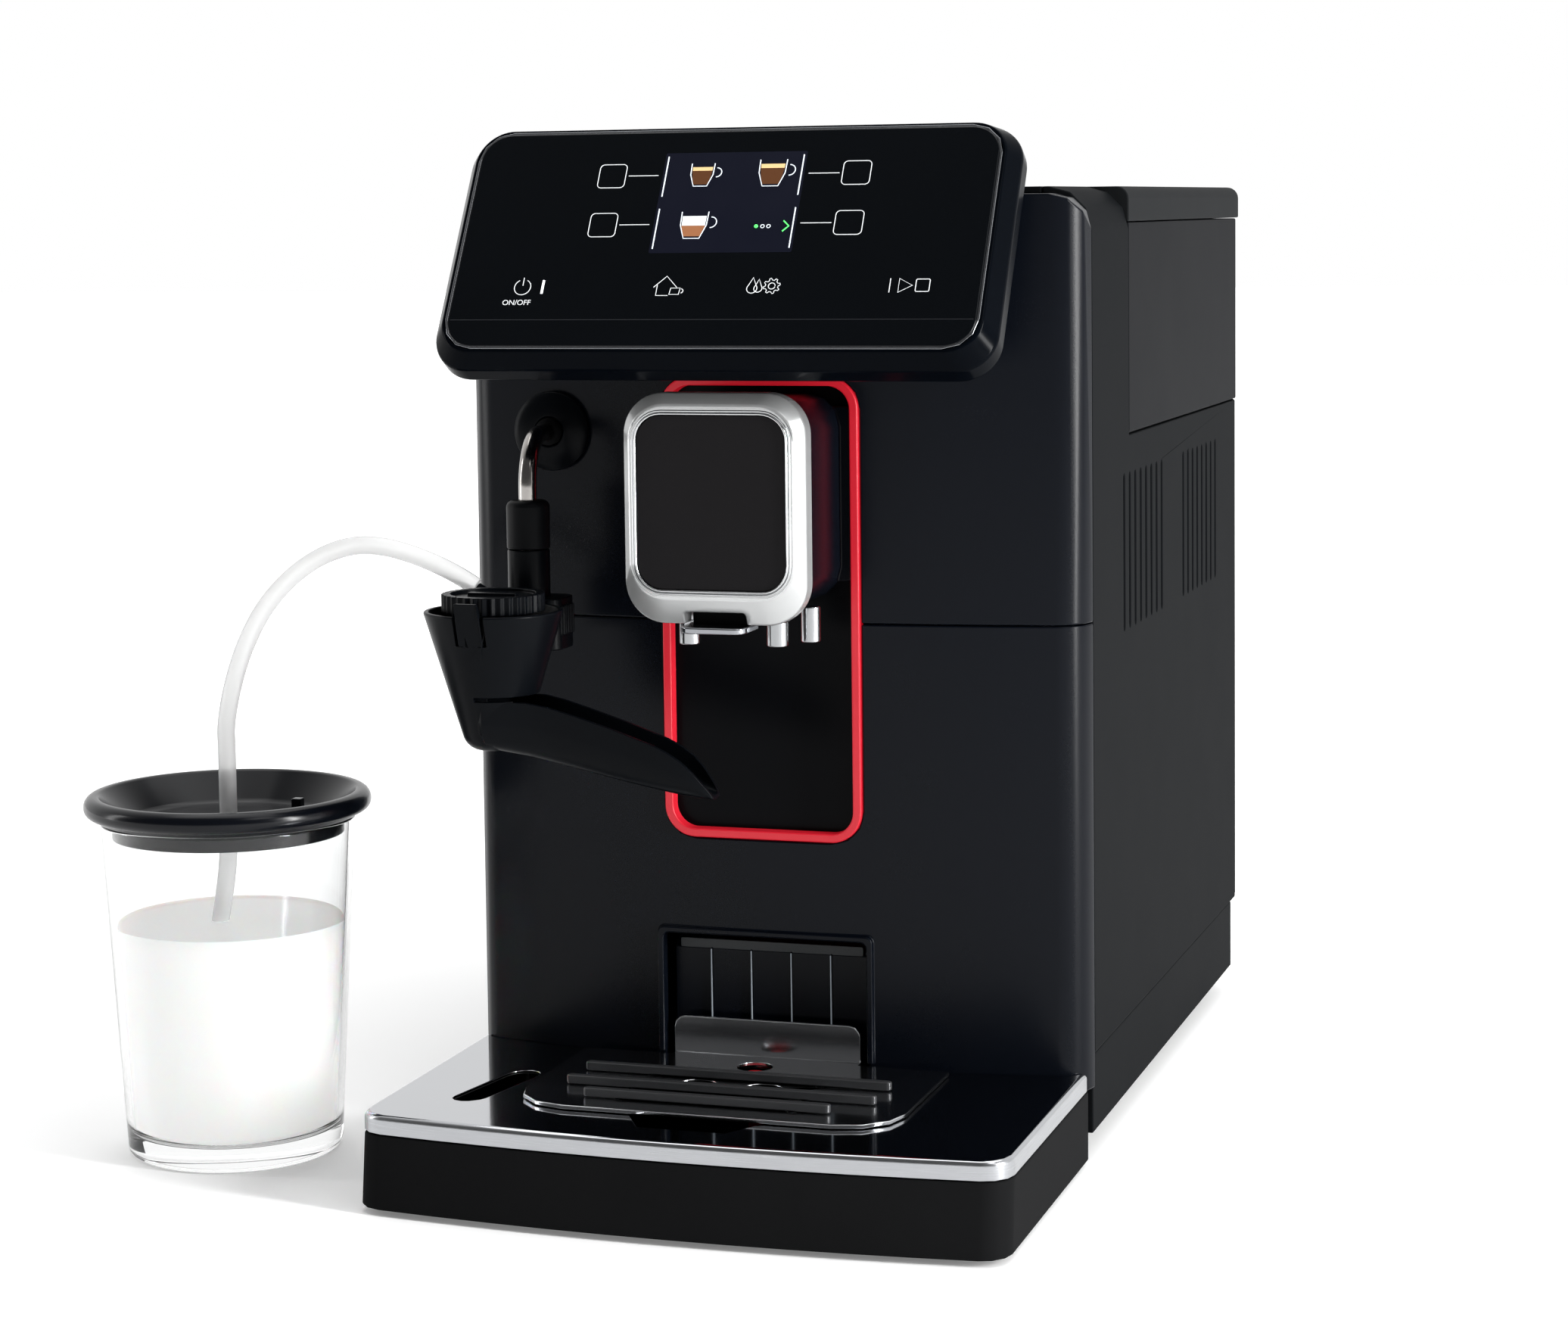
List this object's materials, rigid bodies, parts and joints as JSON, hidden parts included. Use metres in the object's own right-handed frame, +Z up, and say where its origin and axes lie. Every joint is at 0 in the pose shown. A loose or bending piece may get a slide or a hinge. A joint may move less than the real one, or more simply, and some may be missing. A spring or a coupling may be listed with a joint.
{
  "type": "bean to cup coffee machine",
  "caption": "Bean to cup coffee machine: bowed black front, tilted control panel, sliding spout, pull-out drip tray, steam wand with milk frother, hose and lidded glass.",
  "frame": {"origin": "on the counter, under the middle of the machine without its hose and milk glass", "axes": "+Z up, -Y towards the user, +X to the user's right"},
  "size_m": [0.3479, 0.435, 0.357],
  "materials": {
    "satin_black": "satin moulded black",
    "gloss_black": "polished black",
    "matt_black": "fine grained matt black",
    "display_glass": "black printed glass",
    "black_rubber": "soft matt rubber",
    "chrome": "polished plating",
    "satin_steel": "brushed sheet",
    "satin_silver": "satin cast trim",
    "cast_metal": "cast and left as it is",
    "tool_steel": "ground and toothed",
    "red_plastic": "lit from behind",
    "grey_plastic": "moulded, unpainted",
    "pale_plastic": "moulded, unpainted",
    "smoked_plastic": "clear with a dark tint",
    "clear_glass": "clear drinking glass",
    "silicone": "translucent",
    "circuit": "lacquered board"
  },
  "bodies": {
    "machine": {"base_pan": "satin_black", "foot_front_left": "black_rubber", "foot_front_right": "black_rubber", "foot_rear_left": "black_rubber", "foot_rear_right": "black_rubber", "inner_frame": "grey_plastic", "lower_fascia": "satin_black", "upper_fascia": "satin_black", "red_light_frame": "red_plastic", "recess_panel": "gloss_black", "right_side_panel": "satin_black", "left_side_panel": "satin_black", "top_cover": "satin_black", "rear_cover": "matt_black", "mains_inlet": "matt_black", "panel_housing": "gloss_black", "panel_glass": "display_glass", "panel_trim": "chrome", "display_board": "circuit", "wand_flange": "satin_black", "milk_hose": "silicone", "milk_glass": "clear_glass", "bean_hopper": "smoked_plastic", "grinder_housing": "cast_metal", "grinder_motor": "cast_metal", "brew_group": "grey_plastic", "brew_motor": "matt_black", "boiler": "cast_metal", "pump": "cast_metal", "power_board": "circuit"},
    "tray": {"drip_tray": "satin_black", "tray_cover": "satin_steel", "grounds_container": "matt_black"},
    "plate": {"cup_plate": "chrome", "cup_ribs": "black_rubber"},
    "float": {"tray_float": "red_plastic"},
    "spout": {"spout_bezel": "satin_silver", "spout_plate": "matt_black", "spout_body": "gloss_black", "spout_grip": "chrome", "coffee_nozzles": "chrome", "water_nozzle": "chrome"},
    "wand": {"steam_pipe": "chrome", "wand_sleeve": "black_rubber", "frother_socket": "satin_black", "frother_cup": "satin_black", "frother_spout": "satin_black"},
    "knob": {"frother_knob": "matt_black"},
    "tank": {"water_tank": "smoked_plastic", "tank_valve": "pale_plastic"},
    "tank_cover": {"tank_lid": "satin_black"},
    "bean_cover": {"hopper_lid": "smoked_plastic"},
    "ground_cover": {"ground_coffee_lid": "satin_black"},
    "door": {"service_door": "satin_black"},
    "cone_burr": {"lower_burr": "tool_steel"},
    "ring_burr": {"grind_adjuster": "matt_black", "upper_burr": "tool_steel"},
    "piston": {"brew_piston": "pale_plastic"},
    "rocker": {"power_switch": "matt_black"},
    "glass_cover": {"glass_lid": "matt_black"}
  },
  "joints": [
    {"name": "tray_pull", "type": "slide", "parent": "machine", "child": "tray", "axis": [0, -1, 0], "range_m": [0, 0.165]},
    {"name": "plate_lift", "type": "slide", "parent": "tray", "child": "plate", "axis": [0, 0, 1], "range_m": [0, 0.025]},
    {"name": "float_rise", "type": "slide", "parent": "tray", "child": "float", "axis": [0, 0, 1], "range_m": [0, 0.006]},
    {"name": "spout_height", "type": "slide", "parent": "machine", "child": "spout", "axis": [0, 0, 1], "range_m": [-0.08, 0]},
    {"name": "wand_swing", "type": "hinge", "parent": "machine", "child": "wand", "pos_m": [-0.0768, -0.1095, 0.2526], "axis": [0, 0, 1], "range_deg": [-25, 0], "deforming": ["milk_hose"]},
    {"name": "knob_turn", "type": "hinge", "parent": "wand", "child": "knob", "pos_m": [-0.072, -0.1745, 0.1973], "axis": [0, 0, 1], "range_deg": [0, 90]},
    {"name": "tank_lift", "type": "slide", "parent": "machine", "child": "tank", "axis": [0, 0, 1], "range_m": [0, 0.09]},
    {"name": "tank_lid_hinge", "type": "hinge", "parent": "tank", "child": "tank_cover", "pos_m": [0.06365, 0.214, 0.33], "axis": [-1, 0, 0], "range_deg": [0, 75]},
    {"name": "bean_lid_hinge", "type": "hinge", "parent": "machine", "child": "bean_cover", "pos_m": [-0.04, 0.1685, 0.3376], "axis": [-1, 0, 0], "range_deg": [0, 80]},
    {"name": "ground_lid_hinge", "type": "hinge", "parent": "machine", "child": "ground_cover", "pos_m": [-0.042, 0.009, 0.3361], "axis": [-1, 0, 0], "range_deg": [0, 80]},
    {"name": "door_hinge", "type": "hinge", "parent": "machine", "child": "door", "pos_m": [-0.112, 0.0697, 0.147], "axis": [0, 0, -1], "range_deg": [0, 90]},
    {"name": "burr_spin", "type": "hinge", "parent": "machine", "child": "cone_burr", "pos_m": [-0.048, 0.112, 0.2168], "axis": [0, 0, 1], "continuous": true},
    {"name": "grind_setting", "type": "hinge", "parent": "machine", "child": "ring_burr", "pos_m": [-0.048, 0.112, 0.2298], "axis": [0, 0, 1], "range_deg": [0, 50]},
    {"name": "piston_stroke", "type": "slide", "parent": "machine", "child": "piston", "axis": [0, 0, 1], "range_m": [0, 0.04]},
    {"name": "power_rocker", "type": "hinge", "parent": "machine", "child": "rocker", "pos_m": [-0.043, 0.2131, 0.074], "axis": [1, 0, 0], "range_deg": [-14, 0]},
    {"name": "glass_lid_lift", "type": "slide", "parent": "machine", "child": "glass_cover", "axis": [0, 0, 1], "range_m": [0, 0.025]}
  ]
}
